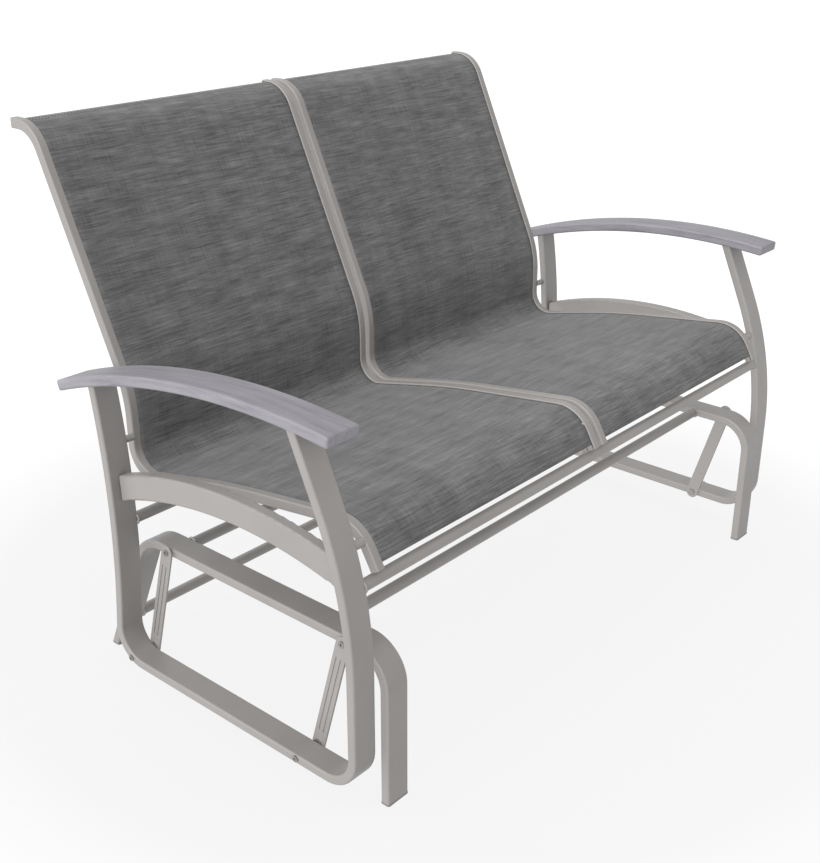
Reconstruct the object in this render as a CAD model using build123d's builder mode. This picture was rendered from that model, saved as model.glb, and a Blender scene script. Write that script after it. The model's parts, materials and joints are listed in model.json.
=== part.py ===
from build123d import *
from math import atan2, cos, degrees, radians, tan
import os

# Two-seat sling glider: a swinging seat hung from a fixed base by four links.
# Millimetres. X runs along the seat, the front is towards -Y, Z is up, the floor is Z = 0.

# ---- frame tube, wide across X and thin in the plane of its bends
tube_w = 44.5
tube_t = 16.0
tube_r = 3.5
tube_wall = 1.6
bar_d = 19.0
bar_wall = 1.6

# ---- base: two inverted U frames, joined by three round bars
base_x = 543.75
base_path = [(-395, 3, 0), (-395, 256.5, 58), (147.7, 256.5, 67), (268.4, -12, 0)]
glide_t = 3.0
base_bars = {
    "base_front_stretcher": (-274.0, 256.5),
    "base_rear_stretcher": (72.0, 256.5),
    "base_lower_stretcher": (236.1, 60.0),
}

# ---- seat side frames: U frames outboard of the base, open at the top
side_x = 598.75
side_path = [
    (-274.3, 608.1, 0),
    (-381, 370.6, 632),
    (-381, 49, 55),
    (169.9, 49, 52),
    (132, 325, 1400),
    (172.3, 556, 0),
]
seat_bars = {
    "front_seat_crossbar": (-365.5, 370.5),
    "rear_seat_crossbar": (148.0, 300.0),
}

# ---- arched rail between the two legs of each side frame
arch_x = 594.0
arch_w = 20.0
arch_h = 43.0
arch_r = 845.0
arch_centre = (-144.0, -407.0)
front_leg_back = ((251.0, 235.0), 632.0 - tube_t / 2)
rear_leg_front = ((1547.0, 311.0), 1400.0 + tube_t / 2)

# ---- armrests, bent to one long arc
arm_x = 599.0
arm_w = 62.0
arm_t = 18.0
arm_r = 4.0
arm_centre = (-222.2, -718.8)
arm_under_r = 1319.2
arm_front_y = -360.0
arm_rear_y = 247.0

# ---- links, hung between the base frames and the side frames
link_in = 569.5
link_t = 3.5
link_w = 25.0
link_fall = (57.0, -204.0)
link_tops = {"front": (-321.0, 254.5), "rear": (77.0, 258.0)}
groove_w = 2.4
groove_depth = 1.2
groove_gap = 9.0
groove_end = 28.0
pin_d = 8.0
pin_hole = 8.1
run_gap = 0.2
head_d = 11.0
head_t = 2.4
spacer_d = 16.0
nut_af = 13.0
nut_t = 2.6

# ---- sling rails: one S-shaped line, seen from the side
rail_w = 15.0
rail_d = 17.0
rail_r = 2.5
rail_path = [
    (400, 910.5, 0),
    (350.8, 910.5, 56.5),
    (165.5, 507.6, 191.5),
    (165.5, 363.0, 46.5),
    (-60.6, 413.2, 1500),
    (-336.6, 449.5, 57.5),
    (-372.8, 386.8, 0),
]
channel_d = 4.8
channel_in = 4.6
channel_up = 4.9
slot_w = 2.4
hollow_w = 5.0
hollow_off = 3.2
cap_t = 3.0
# name: middle of the rail, and the side that its channel opens to
rails = {
    "left_outer": (-550.5, 1),
    "left_centre": (-12.0, -1),
    "right_centre": (12.0, 1),
    "right_outer": (550.5, -1),
}
standoffs = {"front": (-350.7, 428.0, 14.0), "rear": (159.0, 437.0, 12.0)}
standoff_in = 558.0
bracket_w = 39.0

# ---- slings, their edge rods and the bars that keep the rails apart
sling_t = 1.2
sling_trims = (4.0, 9.0)
spline_d = 4.2
spreader_d = 10.0
spreaders = {"back": (281.6, 751.5), "seat": (-140.5, 420.1)}

os.makedirs("parts", exist_ok=True)


def save(piece, name):
    piece.part.label = name
    export_step(piece.part, f"parts/{name}.step")


def bent(plane, corners, trims=(0.0, 0.0)):
    """A tube's middle line: straight runs between corners, each corner rounded to its own radius."""
    points = [Vector(y, z) for y, z, r in corners]
    start = points[0] + (points[1] - points[0]).normalized() * trims[0]
    end = points[-1] + (points[-2] - points[-1]).normalized() * trims[1]
    with BuildLine(plane) as line:
        for i, (y, z, r) in enumerate(corners[1:-1], 1):
            into = (points[i] - points[i - 1]).normalized()
            out = (points[i + 1] - points[i]).normalized()
            half = radians(into.get_angle(out) / 2)
            a = points[i] - into * (r * tan(half))
            b = points[i] + out * (r * tan(half))
            middle = points[i] + (out - into).normalized() * (r / cos(half) - r)
            Line((start.X, start.Y), (a.X, a.Y))
            ThreePointArc((a.X, a.Y), (middle.X, middle.Y), (b.X, b.Y))
            start = b
        Line((start.X, start.Y), (end.X, end.Y))
    return line.wire()


def across(path):
    """The section plane at the start of a path, with its own X along the seat."""
    return Plane(origin=path @ 0, x_dir=(1, 0, 0), z_dir=path % 0)


def along_x(x, y, z):
    """A place for a cylinder whose axis runs along the seat."""
    return Location((x, y, z), (0, 90, 0))


def reach(x0, x1, sx):
    """The middle and the length of a span along X, on the side that sx gives."""
    return sx * (x0 + x1) / 2, abs(x1 - x0)


# ---- base
for side, sx in (("left", -1), ("right", 1)):
    path = bent(Plane.YZ.offset(sx * base_x), base_path)
    with BuildPart() as base_frame:
        with BuildSketch(across(path)) as section:
            RectangleRounded(tube_w, tube_t, tube_r)
            RectangleRounded(
                tube_w - 2 * tube_wall, tube_t - 2 * tube_wall, tube_r - tube_wall, mode=Mode.SUBTRACT
            )
        sweep(path=path)
        split(bisect_by=Plane.XY.offset(glide_t), keep=Keep.TOP)
        for y, z in link_tops.values():
            with Locations(along_x(sx * (base_x + tube_w / 2), y, z)):
                Cylinder(pin_hole / 2, 12, mode=Mode.SUBTRACT)
    save(base_frame, f"{side}_base_frame")

    with BuildPart() as front_glide:
        with BuildSketch(Plane.XY):
            with Locations((sx * base_x, -395)):
                RectangleRounded(tube_w + 0.6, tube_t + 0.6, tube_r)
        extrude(amount=glide_t)
        with BuildSketch(Plane.XY.offset(glide_t)):
            with Locations((sx * base_x, -395)):
                RectangleRounded(tube_w - 2 * tube_wall - 0.4, tube_t - 2 * tube_wall - 0.4, 1.5)
        extrude(amount=10)
    save(front_glide, f"{side}_front_glide")

    with BuildPart() as rear_glide:
        with BuildSketch(Plane.XY):
            with Locations((sx * base_x, 261.0)):
                RectangleRounded(tube_w + 0.6, tube_t + 3.0, tube_r)
        extrude(amount=glide_t)
        with BuildSketch(Plane.XY.offset(glide_t)):
            with Locations((sx * base_x, 260.2)):
                RectangleRounded(tube_w - 2 * tube_wall - 1, 8.5, 1.5)
        extrude(amount=7)
    save(rear_glide, f"{side}_rear_glide")

for name, (y, z) in base_bars.items():
    with BuildPart() as base_bar:
        with Locations(along_x(0, y, z)):
            Cylinder(bar_d / 2, 2 * base_x - tube_w)
            Cylinder(bar_d / 2 - bar_wall, 2 * base_x - tube_w, mode=Mode.SUBTRACT)
    save(base_bar, name)

# ---- links and their pivot bolts
link_out = link_in + link_t
link_long = Vector(*link_fall).length
link_turn = degrees(atan2(link_fall[1], link_fall[0]))
base_out = base_x + tube_w / 2
side_in = side_x - tube_w / 2
side_out = side_x + tube_w / 2
for side, sx in (("left", -1), ("right", 1)):
    for end, (y, z) in link_tops.items():
        low_y, low_z = y + link_fall[0], z + link_fall[1]
        middle = ((y + low_y) / 2, (z + low_z) / 2)

        with BuildPart() as link:
            with BuildSketch(Plane.YZ.offset(sx * (link_in + link_t / 2))):
                with Locations(middle):
                    SlotCenterToCenter(link_long, link_w, rotation=link_turn)
                with Locations((y, z), (low_y, low_z)):
                    Circle(pin_hole / 2, mode=Mode.SUBTRACT)
            extrude(amount=link_t / 2, both=True)
            chamfer(link.edges().filter_by(GeomType.CIRCLE).filter_by(lambda e: e.radius > pin_hole), 0.4)
            with BuildSketch(Plane.YZ.offset(sx * link_out)):
                lean = Vector(*link_fall).normalized()
                for step in (-groove_gap / 2, groove_gap / 2):
                    with Locations((middle[0] - lean.Y * step, middle[1] + lean.X * step)):
                        SlotOverall(link_long - 2 * groove_end, groove_w, rotation=link_turn)
            extrude(amount=-sx * groove_depth, mode=Mode.SUBTRACT)
        save(link, f"{side}_{end}_link")

        # top: screwed into the base frame, with a shoulder that the link turns on
        with BuildPart() as top_bolt:
            at, long = reach(base_out, link_in - run_gap, sx)
            with Locations(along_x(at, y, z)):
                Cylinder(spacer_d / 2, long)
            at, long = reach(base_out - 20, link_out + run_gap, sx)
            with Locations(along_x(at, y, z)):
                Cylinder(pin_d / 2, long)
            at, long = reach(link_out + run_gap, link_out + run_gap + head_t, sx)
            with Locations(along_x(at, y, z)):
                Cylinder(head_d / 2, long)
            with BuildSketch(Plane.YZ.offset(sx * (link_out + run_gap + head_t))):
                with Locations((y, z)):
                    RegularPolygon(2.6, 6)
            extrude(amount=-sx * 1.6, mode=Mode.SUBTRACT)
        save(top_bolt, f"{side}_{end}_top_bolt")

        # foot: through the seat side frame, with a spacer and a thin nut inboard of the link
        with BuildPart() as foot_bolt:
            at, long = reach(side_out, side_out + head_t, sx)
            with Locations(along_x(at, low_y, low_z)):
                Cylinder(head_d / 2, long)
            at, long = reach(link_in - run_gap - nut_t, side_out, sx)
            with Locations(along_x(at, low_y, low_z)):
                Cylinder(pin_d / 2, long)
            at, long = reach(link_out + run_gap, side_in, sx)
            with Locations(along_x(at, low_y, low_z)):
                Cylinder(spacer_d / 2, long)
            with BuildSketch(Plane.YZ.offset(sx * (link_in - run_gap))):
                with Locations((low_y, low_z)):
                    RegularPolygon(nut_af / 2, 6, major_radius=False)
            extrude(amount=-sx * nut_t)
            with BuildSketch(Plane.YZ.offset(sx * (side_out + head_t))):
                with Locations((low_y, low_z)):
                    RegularPolygon(2.6, 6)
            extrude(amount=-sx * 1.6, mode=Mode.SUBTRACT)
        save(foot_bolt, f"{side}_{end}_foot_bolt")

# ---- seat side frames, arched rails and armrests
for side, sx in (("left", -1), ("right", 1)):
    path = bent(Plane.YZ.offset(sx * side_x), side_path)
    with BuildPart() as side_frame:
        with BuildSketch(across(path)):
            RectangleRounded(tube_w, tube_t, tube_r)
            RectangleRounded(
                tube_w - 2 * tube_wall, tube_t - 2 * tube_wall, tube_r - tube_wall, mode=Mode.SUBTRACT
            )
        sweep(path=path)
        # both leg tops are cut to the armrest's underside
        with BuildSketch(Plane.YZ.offset(sx * side_x)):
            with Locations((-60, 640)):
                Rectangle(700, 400)
            with Locations(arm_centre):
                Circle(arm_under_r, mode=Mode.SUBTRACT)
        extrude(amount=tube_w, both=True, mode=Mode.SUBTRACT)
        for y, z in link_tops.values():
            with Locations(along_x(sx * side_x, y + link_fall[0], z + link_fall[1])):
                Cylinder(pin_hole / 2, 2 * tube_w, mode=Mode.SUBTRACT)
    save(side_frame, f"{side}_side_frame")

    with BuildPart() as arch:
        for inset, mode in ((0, Mode.ADD), (tube_wall, Mode.SUBTRACT)):
            with BuildSketch(Plane.YZ.offset(sx * arch_x)):
                with Locations(arch_centre):
                    Circle(arch_r - inset)
                    Circle(arch_r - arch_h + inset, mode=Mode.SUBTRACT)
                with Locations(front_leg_back[0]):
                    Circle(front_leg_back[1], mode=Mode.INTERSECT)
                with Locations(rear_leg_front[0]):
                    Circle(rear_leg_front[1], mode=Mode.SUBTRACT)
            extrude(amount=arch_w / 2 - inset, both=True, mode=mode)
            if not inset:
                long_edges = arch.edges().filter_by(GeomType.CIRCLE).filter_by(lambda e: e.length > 400)
                fillet(long_edges, tube_r)
    save(arch, f"{side}_arched_rail")

    with BuildPart() as armrest:
        middle_r = arm_under_r + arm_t / 2
        with BuildLine(Plane.YZ.offset(sx * arm_x)) as arm_line:
            ends = []
            for y in (arm_front_y, (arm_front_y + arm_rear_y) / 2, arm_rear_y):
                rise = (middle_r**2 - (y - arm_centre[0]) ** 2) ** 0.5
                ends.append((y, arm_centre[1] + rise))
            ThreePointArc(*ends)
        with BuildSketch(across(arm_line.wire())):
            Rectangle(arm_w, arm_t)
        sweep(path=arm_line.wire())
        fillet(armrest.edges(), arm_r)
    save(armrest, f"{side}_armrest")

for name, (y, z) in seat_bars.items():
    with BuildPart() as seat_bar:
        with Locations(along_x(0, y, z)):
            Cylinder(bar_d / 2, 2 * side_in)
            Cylinder(bar_d / 2 - bar_wall, 2 * side_in, mode=Mode.SUBTRACT)
    save(seat_bar, name)

# ---- sling rails with their end caps
for name, (x, opens) in rails.items():
    path = bent(Plane.YZ.offset(x), rail_path)
    with BuildPart() as rail:
        with BuildSketch(across(path)):
            RectangleRounded(rail_w, rail_d, rail_r)
            channel = opens * (rail_w / 2 - channel_in)
            with Locations((channel, channel_up)):
                Circle(channel_d / 2, mode=Mode.SUBTRACT)
            with Locations((channel + opens * channel_in / 2, channel_up)):
                Rectangle(channel_in + 1, slot_w, mode=Mode.SUBTRACT)
            with Locations((-opens * hollow_off, 0)):
                RectangleRounded(hollow_w, rail_d - 4, 1.5, mode=Mode.SUBTRACT)
        sweep(path=path)
    save(rail, f"{name}_sling_rail")

    with BuildPart() as cap:
        with BuildSketch(across(path)):
            RectangleRounded(rail_w, rail_d, rail_r)
        extrude(amount=-cap_t)
        outer = cap.faces().sort_by(Axis.Y)[-1]
        fillet(outer.edges(), 1.2)
        with BuildSketch(across(path)):
            with Locations((-opens * hollow_off, 0)):
                RectangleRounded(hollow_w - 0.4, rail_d - 4.4, 1.3)
        extrude(amount=10)
    save(cap, f"{name}_rail_cap")

for side, sx in (("left", -1), ("right", 1)):
    for end, (y, z, d) in standoffs.items():
        with BuildPart() as standoff:
            at, long = reach(standoff_in, side_in, sx)
            with Locations(along_x(at, y, z)):
                Cylinder(d / 2, long)
                Cylinder(3.2, long, mode=Mode.SUBTRACT)
        save(standoff, f"{side}_{end}_standoff")

# ---- brackets that carry the two middle rails on the crossbars
with BuildPart() as front_bracket:
    with BuildSketch(Plane.YZ):
        with BuildLine():
            Polyline((-349.9, 409.4), (-363.2, 386.4), (-371, 366), (-360, 364), (-343, 404), close=True)
        make_face()
    extrude(amount=bracket_w / 2, both=True)
    with Locations(along_x(0, *seat_bars["front_seat_crossbar"])):
        Cylinder(bar_d / 2, 60, mode=Mode.SUBTRACT)
save(front_bracket, "centre_front_bracket")

with BuildPart() as rear_bracket:
    with BuildSketch(Plane.XY.offset(296)):
        with Locations((0, 148)):
            RectangleRounded(bracket_w, 14, 3)
    extrude(amount=90)
    with Locations(along_x(0, *seat_bars["rear_seat_crossbar"])):
        Cylinder(bar_d / 2, 60, mode=Mode.SUBTRACT)
    with Locations(along_x(0, 119.0, 420.95)):
        Cylinder(46.5 + rail_d / 2 + 0.05, 60, mode=Mode.SUBTRACT)
    split(bisect_by=Plane.XY.offset(300), keep=Keep.TOP)
save(rear_bracket, "centre_rear_bracket")

# ---- slings, with a rod along each edge, and the bars behind them
for side, sx in (("left", -1), ("right", 1)):
    outer, centre = rails[f"{side}_outer"][0], rails[f"{side}_centre"][0]
    rod_out = outer - sx * (rail_w / 2 - channel_in)
    rod_in = centre + sx * (rail_w / 2 - channel_in)
    middle = (rod_out + rod_in) / 2
    path = bent(Plane.YZ.offset(middle), rail_path, sling_trims)
    with BuildPart() as sling:
        with BuildSketch(across(path)):
            with Locations((0, channel_up)):
                Rectangle(abs(rod_out - rod_in) - spline_d, sling_t)
        sweep(path=path)
    save(sling, f"{side}_sling")

    for where, x in (("outer", rod_out), ("inner", rod_in)):
        path = bent(Plane.YZ.offset(x), rail_path, sling_trims)
        with BuildPart() as rod:
            with BuildSketch(across(path)):
                with Locations((0, channel_up)):
                    Circle(spline_d / 2)
            sweep(path=path)
        save(rod, f"{side}_{where}_edge_rod")

    faces_at = (abs(outer) - rail_w / 2, abs(centre) + rail_w / 2)
    for where, (y, z) in spreaders.items():
        with BuildPart() as spreader:
            at, long = reach(*faces_at, sx)
            with Locations(along_x(at, y, z)):
                Cylinder(spreader_d / 2, long)
        save(spreader, f"{side}_{where}_spreader")
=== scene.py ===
import json
from math import atan2, ceil, cos, exp, pi, radians, sin, tan

import bpy
from mathutils import Matrix, Vector


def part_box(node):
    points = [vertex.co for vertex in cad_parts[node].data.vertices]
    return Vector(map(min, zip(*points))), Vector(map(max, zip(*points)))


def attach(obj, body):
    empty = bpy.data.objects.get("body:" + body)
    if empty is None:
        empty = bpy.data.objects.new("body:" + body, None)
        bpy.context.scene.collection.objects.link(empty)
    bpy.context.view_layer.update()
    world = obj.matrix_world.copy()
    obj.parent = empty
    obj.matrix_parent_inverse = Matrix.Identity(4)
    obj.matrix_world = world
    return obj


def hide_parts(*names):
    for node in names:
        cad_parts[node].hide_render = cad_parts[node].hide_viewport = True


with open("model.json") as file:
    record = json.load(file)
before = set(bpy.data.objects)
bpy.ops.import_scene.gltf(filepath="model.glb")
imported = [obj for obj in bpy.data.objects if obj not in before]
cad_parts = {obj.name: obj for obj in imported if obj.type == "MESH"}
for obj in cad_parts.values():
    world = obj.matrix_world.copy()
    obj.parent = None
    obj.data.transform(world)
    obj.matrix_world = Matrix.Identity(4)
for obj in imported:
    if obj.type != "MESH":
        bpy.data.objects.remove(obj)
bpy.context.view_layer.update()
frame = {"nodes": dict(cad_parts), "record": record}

# A sling glider: the slings, seams, welds and screws are made here, round the CAD frame. Metres.

SIDES = (("left", -1), ("right", 1))

# ---- camera and studio
CAMERA_AT = (-1.6526, -1.3932, 1.2617)
CAMERA_AZIMUTH = -48.89
CAMERA_ELEVATION = 23.85
CAMERA_LENS = 51.98
KEY_FROM = (-0.86, 0.10, 0.50)
KEY_STRENGTH = 3.3
KEY_ANGLE = 45
FLOOR_RINGS = (0.5, 1.0, 2.0, 4.0, 14.0)
FLOOR_DROP = 0.0004

# ---- sling rails' middle line, seen from the side: y, z and the radius of each corner
RAIL_LINE = [
    (0.4000, 0.9105, 0),
    (0.3508, 0.9105, 0.0565),
    (0.1655, 0.5076, 0.1915),
    (0.1655, 0.3630, 0.0465),
    (-0.0606, 0.4132, 1.5),
    (-0.3366, 0.4495, 0.0575),
    (-0.3728, 0.3868, 0),
]
CLOTH_LIFT = 0.0049  # in front of the rails' middle line
CLOTH_THICK = 0.0012
CLOTH_TRIMS = (0.004, 0.009)  # short of the rails' top and front ends
CLOTH_COLUMNS = 40
RUN_STEP = 0.010
ARC_STEP = radians(4)
BOW_GAIN = 0.00035
BOW_SPREAD = 0.035
BOW_FADE = 0.06
HEM = 0.022
HEM_EXTRA = 0.8
HEM_STEP = 0.002
WEAVE_ACROSS = 0.0022
WEAVE_ALONG = 0.0013
NEXT_LENGTH = 0.5  # the right sling is cut further along the same cloth

# ---- stitches, welds and screws
STITCH_PITCH = 0.006
STITCH_LONG = 0.0040
STITCH_HALF = 0.00035
STITCH_MARGIN = 0.008
STITCH_ROWS = (0.003, 0.009)
STITCH_SHAPE = ((0, 0.35), (0.2, 1), (0.8, 1), (1, 0.35))  # along it, and its share of full width
BEAD_R = 0.0021
BEAD_RIPPLES = 22
BEAD_STEP = 0.0002
SCREW_R = 0.0036
SCREW_TALL = 0.0022
SCREW_DOME = ((1.0, 0.0), (1.0, 0.25), (0.92, 0.6), (0.72, 0.88), (0.55, 1.0))
SOCKET_FLAT = 0.42
SOCKET_FLOOR = 0.35

# ---- the armrests' arc, seen from the side: y and z of its centre
ARM_ARC_CENTRE = (-0.2222, -0.7188)


# ================================================================ mesh helpers
def new_piece(name, verts, faces, smooth=True):
    mesh = bpy.data.meshes.new(name)
    mesh.from_pydata([tuple(v) for v in verts], [], faces)
    mesh.validate()
    mesh.polygons.foreach_set("use_smooth", [smooth] * len(mesh.polygons))
    mesh.update()
    piece = bpy.data.objects.new(name, mesh)
    bpy.context.scene.collection.objects.link(piece)
    return piece


def ring_faces(rings, around, closed):
    """Quads between rings of vertices; closed joins the last ring to the first."""
    faces = []
    for i in range(rings if closed else rings - 1):
        j = (i + 1) % rings
        for k in range(around):
            m = (k + 1) % around
            faces.append((i * around + k, i * around + m, j * around + m, j * around + k))
    return faces


# ================================================================ materials
class Nodes:
    """A short way to wire a material's nodes."""

    def __init__(self, name):
        self.material = bpy.data.materials.new(name)
        self.material.use_nodes = True
        self.tree = self.material.node_tree
        self.shader = self.tree.nodes["Principled BSDF"]

    def add(self, kind, **inputs):
        node = self.tree.nodes.new(kind)
        for name, value in inputs.items():
            self.put(node, name.replace("_", " "), value)
        return node

    def put(self, node, name, value):
        socket = node.inputs[name] if not name.isdigit() else node.inputs[int(name)]
        if isinstance(value, bpy.types.NodeSocket):
            self.tree.links.new(value, socket)
        else:
            socket.default_value = value

    def place(self):
        return self.add("ShaderNodeTexCoord").outputs["Object"]

    def math(self, operation, a, b=0.0, c=0.0):
        node = self.tree.nodes.new("ShaderNodeMath")
        node.operation = operation
        for i, value in enumerate((a, b, c)):
            self.put(node, str(i), value)
        return node.outputs[0]

    def scaled(self, vector, scale):
        node = self.tree.nodes.new("ShaderNodeMapping")
        self.put(node, "Vector", vector)
        self.put(node, "Scale", scale)
        return node.outputs[0]

    def noise(self, vector, scale=1.0, detail=2.0, roughness=0.5):
        node = self.add(
            "ShaderNodeTexNoise", Vector=vector, Scale=scale, Detail=detail, Roughness=roughness
        )
        return node.outputs["Fac"]

    def ramp(self, value, *stops):
        node = self.add("ShaderNodeValToRGB", Fac=value)
        elements = node.color_ramp.elements
        while len(elements) < len(stops):
            elements.new(0.5)
        for element, (at, colour) in zip(elements, stops):
            element.position = at
            element.color = (*colour, 1)
        return node.outputs["Color"]

    def bump(self, height, strength, distance):
        node = self.add("ShaderNodeBump", Height=height, Strength=strength, Distance=distance)
        self.put(self.shader, "Normal", node.outputs[0])


def shade(colour, factor):
    return tuple(c * factor for c in colour)


def powder_coat(name, colour, roughness=0.42):
    """Satin powder coat: fine orange peel, with a faint change of shade from place to place."""
    n = Nodes(name)
    at = n.place()
    n.put(
        n.shader,
        "Base Color",
        n.ramp(n.noise(at, 9.0, 3.0), (0.3, shade(colour, 0.955)), (0.7, shade(colour, 1.045))),
    )
    dullness = n.math("MULTIPLY_ADD", n.noise(at, 60.0, 2.0), 0.12, roughness - 0.06)
    n.put(n.shader, "Roughness", dullness)
    n.bump(n.noise(at, 650.0, 2.0), 0.10, 0.0004)
    return n.material


def moulded_plastic(name, colour, roughness=0.55):
    """Moulded plastic with a fine spark-eroded grain."""
    n = Nodes(name)
    at = n.place()
    n.put(
        n.shader,
        "Base Color",
        n.ramp(n.noise(at, 40.0, 4.0), (0.3, shade(colour, 0.93)), (0.7, shade(colour, 1.06))),
    )
    n.put(n.shader, "Roughness", n.math("MULTIPLY_ADD", n.noise(at, 200.0), 0.2, roughness - 0.1))
    n.bump(n.noise(at, 1800.0, 3.0), 0.25, 0.0003)
    return n.material


def turned_metal(name, colour, roughness):
    """Bright metal with fine drawn or turned lines."""
    n = Nodes(name)
    at = n.place()
    n.shader.inputs["Metallic"].default_value = 1.0
    lines = n.noise(n.scaled(at, (60, 1500, 1500)), 1.0, 3.0)
    n.put(n.shader, "Base Color", n.ramp(lines, (0.3, shade(colour, 0.85)), (0.7, colour)))
    n.put(n.shader, "Roughness", n.math("MULTIPLY_ADD", lines, 0.2, roughness - 0.1))
    n.bump(lines, 0.15, 0.0002)
    return n.material


def arm_board(name, centre_y, centre_z):
    """Grained polymer board: streaks follow the armrest's arc, and stand upright on its ends."""
    n = Nodes(name)
    split = n.add("ShaderNodeSeparateXYZ", Vector=n.place())
    y = n.math("SUBTRACT", split.outputs[1], centre_y)
    z = n.math("SUBTRACT", split.outputs[2], centre_z)
    radius = n.math("SQRT", n.math("ADD", n.math("MULTIPLY", y, y), n.math("MULTIPLY", z, z)))
    turn = n.math("ARCTAN2", y, z)
    along = n.add("ShaderNodeCombineXYZ", X=split.outputs[0], Y=radius, Z=turn)
    at = along.outputs[0]
    fine = n.noise(n.scaled(at, (620, 150, 26)), 1.0, 5.0, 0.6)
    broad = n.noise(n.scaled(at, (90, 40, 9)), 1.0, 3.0, 0.55)
    soft = n.noise(n.scaled(at, (14, 14, 10)), 1.0, 2.0)
    mix = n.math("MULTIPLY_ADD", broad, 0.35, n.math("MULTIPLY", soft, 0.2))
    mix = n.math("MULTIPLY_ADD", fine, 0.45, mix)
    n.put(
        n.shader,
        "Base Color",
        n.ramp(
            mix,
            (0.30, (0.105, 0.101, 0.116)),
            (0.48, (0.188, 0.182, 0.200)),
            (0.70, (0.240, 0.234, 0.252)),
        ),
    )
    n.put(n.shader, "Roughness", n.math("MULTIPLY_ADD", fine, 0.25, 0.45))
    n.bump(n.math("MULTIPLY_ADD", fine, 0.6, n.math("MULTIPLY", broad, 0.4)), 0.5, 0.0006)
    return n.material


def sling_cloth(name):
    """Woven mesh cloth. The cloth's own lengths, across and along, come from its mesh."""
    n = Nodes(name)
    threads = n.add("ShaderNodeAttribute")
    threads.attribute_name = "cloth"
    at = threads.outputs["Vector"]
    streaks = n.noise(n.scaled(at, (17, 270, 0)), 1.0, 2.0, 0.6)
    fine = n.noise(n.scaled(at, (34, 760, 0)), 1.0, 2.0, 0.6)
    upright = n.noise(n.scaled(at, (420, 22, 0)), 1.0, 2.0, 0.6)
    clouds = n.noise(n.scaled(at, (8, 52, 3)), 1.0, 3.0, 0.55)
    bands = n.noise(n.scaled(at, (24, 1.5, 5)), 1.0, 1.0)
    tone = n.math("MULTIPLY", streaks, 0.30)
    for part, share in ((fine, 0.24), (upright, 0.14), (clouds, 0.22), (bands, 0.10)):
        tone = n.math("MULTIPLY_ADD", part, share, tone)
    colour = n.ramp(
        tone,
        (0.36, (0.036, 0.036, 0.036)),
        (0.50, (0.099, 0.099, 0.099)),
        (0.64, (0.172, 0.172, 0.172)),
    )
    n.put(n.shader, "Base Color", colour)
    n.shader.inputs["Roughness"].default_value = 0.78
    n.shader.inputs["Specular IOR Level"].default_value = 0.3
    n.shader.inputs["Sheen Weight"].default_value = 0.12
    n.shader.inputs["Sheen Roughness"].default_value = 0.5
    split = n.add("ShaderNodeSeparateXYZ", Vector=at)
    across = n.math("SINE", n.math("MULTIPLY", split.outputs[0], 2 * pi / WEAVE_ACROSS))
    along = n.math("SINE", n.math("MULTIPLY", split.outputs[1], 2 * pi / WEAVE_ALONG))
    weave = n.math("MULTIPLY", across, along)
    n.bump(n.math("MULTIPLY_ADD", weave, 0.25, n.math("ADD", streaks, fine)), 0.35, 0.0008)
    return n.material


def sewing_thread(name, colour):
    """Twisted thread with painted shade: darker between its strands, where its bump is low."""
    n = Nodes(name)
    twist = n.noise(n.scaled(n.place(), (900, 2500, 2500)), 1.0, 2.0)
    # painted shade: the colour is darker where the twist bump is low, between the strands
    strands = n.ramp(twist, (0.3, shade(colour, 0.7)), (0.7, shade(colour, 1.2)))
    n.put(n.shader, "Base Color", strands)
    n.shader.inputs["Roughness"].default_value = 0.7
    n.bump(twist, 0.4, 0.0002)
    return n.material


FRAME_COLOUR = (0.222, 0.211, 0.203)
MATERIALS = {
    "frame_paint": powder_coat("frame_powder_coat", FRAME_COLOUR),
    "link_paint": powder_coat("link_powder_coat", shade(FRAME_COLOUR, 1.04), 0.38),
    "faux_wood": arm_board("arm_board", *ARM_ARC_CENTRE),
    "glide_plastic": moulded_plastic("glide_plastic", (0.17, 0.165, 0.16)),
    "cap_plastic": moulded_plastic("cap_plastic", shade(FRAME_COLOUR, 0.97)),
    "rod_plastic": moulded_plastic("rod_plastic", (0.45, 0.45, 0.43)),
    "bare_aluminium": turned_metal("mill_aluminium", (0.72, 0.72, 0.72), 0.38),
    "bolt_steel": turned_metal("plated_steel", (0.37, 0.355, 0.34), 0.45),
    "sling_fabric": sling_cloth("sling_weave"),
}
THREAD = sewing_thread("sewing_thread", (0.07, 0.07, 0.072))

for part in frame["record"]["subparts"]:
    node = frame["nodes"][part["node"]]
    finish = MATERIALS[part["material_slot"]]
    if not node.material_slots:
        node.data.materials.append(finish)
    for place in node.material_slots:
        place.material = finish


# ================================================================ slings
def stations():
    """(point, direction, distance) along the rails' middle line, points in the YZ plane."""
    corners = [Vector(c[:2]) for c in RAIL_LINE]
    found = []

    def note(point, direction):
        far = found[-1][2] + (point - found[-1][0]).length if found else 0.0
        found.append((point, direction, far))

    def run(a, b):
        steps = max(1, ceil((b - a).length / RUN_STEP))
        for i in range(1, steps + 1):
            note(a.lerp(b, i / steps), (b - a).normalized())

    first_way = (corners[1] - corners[0]).normalized()
    last = corners[0] + first_way * CLOTH_TRIMS[0]
    note(last, first_way)
    for i in range(1, len(corners) - 1):
        corner, radius = corners[i], RAIL_LINE[i][2]
        into = (corner - corners[i - 1]).normalized()
        out = (corners[i + 1] - corner).normalized()
        turn = atan2(into.x * out.y - into.y * out.x, into.dot(out))
        cut = radius * tan(abs(turn) / 2)
        run(last, corner - into * cut)
        steps = max(2, ceil(abs(turn) / ARC_STEP), ceil(abs(turn) * radius / RUN_STEP))
        hub = corner - into * cut + Vector((-into.y, into.x)) * (radius if turn > 0 else -radius)
        start = corner - into * cut - hub
        for k in range(1, steps + 1):
            spin = Matrix.Rotation(turn * k / steps, 2)
            note(hub + spin @ start, spin @ into)
        last = corner + out * cut
    last_way = (corners[-1] - corners[-2]).normalized()
    run(last, corners[-1] - last_way * CLOTH_TRIMS[1])
    return found


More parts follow.
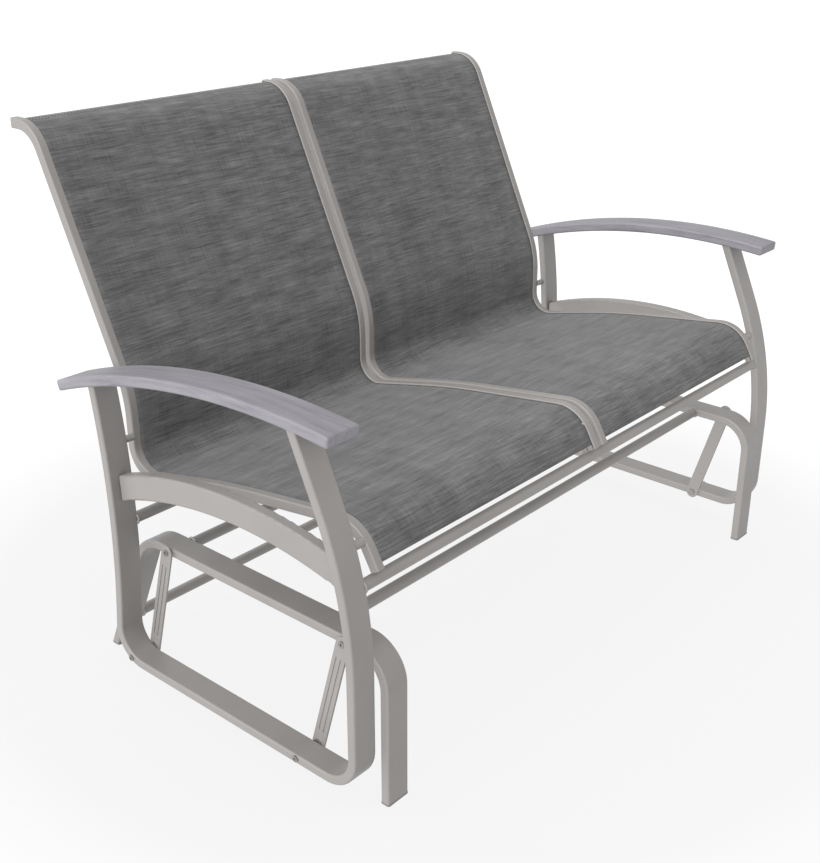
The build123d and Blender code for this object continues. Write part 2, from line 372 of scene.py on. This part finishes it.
def bows(line):
    """How far the middle of the cloth is drawn towards the inside of each bend."""
    bends = []
    for (_, a, s), (_, b, t) in zip(line, line[1:]):
        turn = atan2(a.x * b.y - a.y * b.x, a.dot(b))
        bends.append(((s + t) / 2, -turn))
    reach = BOW_SPREAD * (2 * pi) ** 0.5
    end = line[-1][2]
    found = []
    for _, _, s in line:
        bend = sum(turn * exp(-(((s - at) / BOW_SPREAD) ** 2) / 2) for at, turn in bends) / reach
        fade = min(1.0, s / BOW_FADE, (end - s) / BOW_FADE)
        found.append(bend * BOW_GAIN * fade)
    return found


LINE = stations()
BOWS = bows(LINE)
CLOTH_LONG = LINE[-1][2]


def cloth_point(x, share, i, lift):
    """A point of a sling: share runs from 0 to 1 across it, and i is a station along it."""
    point, way, _ = LINE[i]
    out = Vector((way.y, -way.x))
    belly = BOWS[i] * (1 - (2 * share - 1) ** 2)
    at = point + out * (CLOTH_LIFT + lift + belly)
    return Vector((x, at.x, at.y))


def make_sling(side):
    """A closed sheet, doubled under its two hems, whose edges run into the rails' slots."""
    low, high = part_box(f"{side}_sling")
    rows, columns = len(LINE), CLOTH_COLUMNS + 1
    further = NEXT_LENGTH if side == "right" else 0.0
    verts, threads = [], []
    for face in (1, -1):
        for i in range(rows):
            from_end = min(LINE[i][2], CLOTH_LONG - LINE[i][2])
            hem = CLOTH_THICK * HEM_EXTRA * min(1.0, max(0.0, (HEM - from_end) / HEM_STEP))
            for k in range(columns):
                share = k / CLOTH_COLUMNS
                x = low.x + (high.x - low.x) * share
                lift = face * CLOTH_THICK / 2
                if face == -1 and 0 < k < CLOTH_COLUMNS:
                    lift -= hem
                verts.append(cloth_point(x, share, i, lift))
                threads.append((x, LINE[i][2] + further, 0.0))
    faces = []
    under = rows * columns
    for i in range(rows - 1):
        for k in range(CLOTH_COLUMNS):
            a, b = i * columns + k, i * columns + k + 1
            c, d = b + columns, a + columns
            faces.append((a, d, c, b))
            faces.append((under + a, under + b, under + c, under + d))
    for i in range(rows - 1):
        for k, flip in ((0, False), (CLOTH_COLUMNS, True)):
            a, b = i * columns + k, (i + 1) * columns + k
            quad = (a, under + a, under + b, b)
            faces.append(quad[::-1] if flip else quad)
    for k in range(CLOTH_COLUMNS):
        for i, flip in ((0, True), (rows - 1, False)):
            a, b = i * columns + k, i * columns + k + 1
            quad = (a, under + a, under + b, b)
            faces.append(quad[::-1] if flip else quad)
    cloth = new_piece(f"{side}_sling_cloth", verts, faces)
    made = cloth.data.attributes.new("cloth", "FLOAT_VECTOR", "POINT")
    made.data.foreach_set("vector", [value for thread in threads for value in thread])
    cloth.data.materials.append(MATERIALS["sling_fabric"])
    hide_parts(f"{side}_sling")
    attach(cloth, "seat")
    return cloth


def add_stitch(verts, faces, start, base, way, out):
    """One stitch along X, from start. It lies on base; way and out are the cloth's own axes."""
    first = len(verts)
    for along, wide in STITCH_SHAPE:
        x = start + along * STITCH_LONG
        sink = STITCH_HALF * (0.5 if wide == 1 else -0.9)
        for m in range(6):
            angle = m * pi / 3
            at = base + way * (cos(angle) * STITCH_HALF * wide)
            at = at + out * (sin(angle) * STITCH_HALF * wide + sink)
            verts.append((x, at.x, at.y))
    faces += [tuple(first + v for v in quad) for quad in ring_faces(4, 6, False)]
    faces.append(tuple(first + m for m in range(5, -1, -1)))
    faces.append(tuple(first + 18 + m for m in range(6)))


def make_stitches(side):
    """Two rows of thread at each hem, each stitch a small six-sided grain lying on the cloth."""
    low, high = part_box(f"{side}_sling")
    inner, outer = low.x + STITCH_MARGIN, high.x - STITCH_MARGIN
    count = int((outer - inner) / STITCH_PITCH)
    verts, faces = [], []
    for inset in STITCH_ROWS:
        for wanted in (HEM - inset, CLOTH_LONG - HEM + inset):
            point, way, far = min(LINE, key=lambda station: abs(station[2] - wanted))
            out = Vector((way.y, -way.x))
            base = point + way * (wanted - far) + out * (CLOTH_LIFT + CLOTH_THICK / 2)
            for k in range(count):
                add_stitch(verts, faces, inner + k * STITCH_PITCH, base, way, out)
    thread = new_piece(f"{side}_sling_stitches", verts, faces)
    thread.data.materials.append(THREAD)
    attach(thread, "seat")
    return thread


for side, _ in SIDES:
    cloth = make_sling(side)
    stitches = make_stitches(side)
    low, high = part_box(f"{side}_sling")


# ================================================================ welds and screws
def weld_bead(name, centre, radius, body):
    """A rippled bead round the end of a bar that lies along X."""
    rings, around = BEAD_RIPPLES * 6, 10
    verts = []
    for i in range(rings):
        angle = 2 * pi * i / rings
        phase = BEAD_RIPPLES * angle
        thick = BEAD_R * (1 + 0.10 * sin(phase) + 0.05 * sin(3 * angle + 1))
        for k in range(around):
            turn = 2 * pi * k / around
            far = radius + thick * cos(turn)
            x = thick * sin(turn) + BEAD_STEP * cos(phase)
            verts.append(centre + Vector((x, far * cos(angle), far * sin(angle))))
    bead = new_piece(name, verts, ring_faces(rings, around, True))
    bead.data.materials.append(MATERIALS["frame_paint"])
    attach(bead, body)


BARS = {
    "base_front_stretcher": "base",
    "base_rear_stretcher": "base",
    "base_lower_stretcher": "base",
    "front_seat_crossbar": "seat",
    "rear_seat_crossbar": "seat",
}
for bar, body in BARS.items():
    low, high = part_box(bar)
    middle = (low + high) / 2
    for side, x in (("left", low.x), ("right", high.x)):
        centre = Vector((x, middle.y, middle.z))
        weld_bead(f"{bar}_{side}_weld", centre, (high.z - low.z) / 2, body)


def button_screw(name, at, sx, body):
    """A domed screw head on a face that looks along X, with a six-sided socket."""
    around = 24
    verts = []

    def add_ring(wide_at, tall):
        for k in range(around):
            angle = 2 * pi * k / around
            far = SCREW_R * wide_at(angle)
            verts.append(at + Vector((sx * SCREW_TALL * tall, far * cos(angle), far * sin(angle))))

    for wide, tall in SCREW_DOME:
        add_ring(lambda angle: wide, tall)
    for tall in (1.0, SOCKET_FLOOR):
        add_ring(lambda angle: SOCKET_FLAT / cos((angle % (pi / 3)) - pi / 6), tall)
    rings = len(SCREW_DOME) + 2
    faces = ring_faces(rings, around, False)
    faces.append(tuple(range(around - 1, -1, -1)))
    faces.append(tuple((rings - 1) * around + k for k in range(around)))
    if sx < 0:
        faces = [face[::-1] for face in faces]
    screw = new_piece(name, verts, faces, smooth=False)
    screw.data.materials.append(MATERIALS["bolt_steel"])
    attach(screw, body)


for side, sx in SIDES:
    low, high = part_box(f"{side}_centre_sling_rail")
    face_x = low.x if sx < 0 else high.x
    low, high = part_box(f"{side}_front_standoff")
    middle = (low + high) / 2
    button_screw(f"{side}_centre_rail_screw", Vector((face_x, middle.y, middle.z)), sx, "seat")


# ================================================================ studio
def make_floor():
    """A round pale floor that lights itself: light grey near the object, a painted shadow of the
    object, and white further out.
    """
    around = 96
    verts = [(0, 0, -FLOOR_DROP)]
    for radius in FLOOR_RINGS:
        for k in range(around):
            angle = 2 * pi * k / around
            verts.append((radius * cos(angle), radius * sin(angle), -FLOOR_DROP))
    faces = [(0, 1 + k, 1 + (k + 1) % around) for k in range(around)]
    for i in range(len(FLOOR_RINGS) - 1):
        for k in range(around):
            a, b = 1 + i * around + k, 1 + i * around + (k + 1) % around
            faces.append((a, a + around, b + around, b))
    floor = new_piece("floor", verts, faces)
    n = Nodes("pale_floor")
    centre = n.add("ShaderNodeVectorMath")
    centre.operation = "LENGTH"
    n.put(centre, "0", n.place())
    far = n.math("MULTIPLY", centre.outputs["Value"], 0.5)
    n.put(n.shader, "Base Color", (0.08, 0.08, 0.08, 1))
    n.shader.inputs["Roughness"].default_value = 1.0
    n.shader.inputs["Specular IOR Level"].default_value = 0.0
    # painted shadow: the floor's emission is dimmer near the object, in place of the object's
    # shadow
    emission_with_painted_shadow = n.ramp(far, (0.42, (0.815, 0.815, 0.815)), (0.72, (1.0, 1.0, 1.0)))
    n.put(n.shader, "Emission Color", emission_with_painted_shadow)
    n.shader.inputs["Emission Strength"].default_value = 1.0
    floor.data.materials.append(n.material)


def make_studio():
    scene = bpy.context.scene
    world = bpy.data.worlds.new("studio")
    scene.world = world
    world.use_nodes = True
    background = world.node_tree.nodes["Background"]
    background.inputs["Color"].default_value = (1, 1, 1, 1)
    background.inputs["Strength"].default_value = 1.0

    lamp = bpy.data.lights.new("key", "SUN")
    lamp.energy = KEY_STRENGTH
    lamp.angle = radians(KEY_ANGLE)
    lamp.use_shadow = False
    key = bpy.data.objects.new("key", lamp)
    key.rotation_euler = Vector(KEY_FROM).to_track_quat("Z", "Y").to_euler()
    scene.collection.objects.link(key)

    lens = bpy.data.cameras.new("camera")
    lens.lens = CAMERA_LENS
    lens.sensor_width = 36
    camera = bpy.data.objects.new("camera", lens)
    camera.location = CAMERA_AT
    camera.rotation_euler = (radians(90 - CAMERA_ELEVATION), 0, radians(CAMERA_AZIMUTH))
    scene.collection.objects.link(camera)
    scene.camera = camera
    scene.view_settings.view_transform = "Standard"


make_floor()
make_studio()
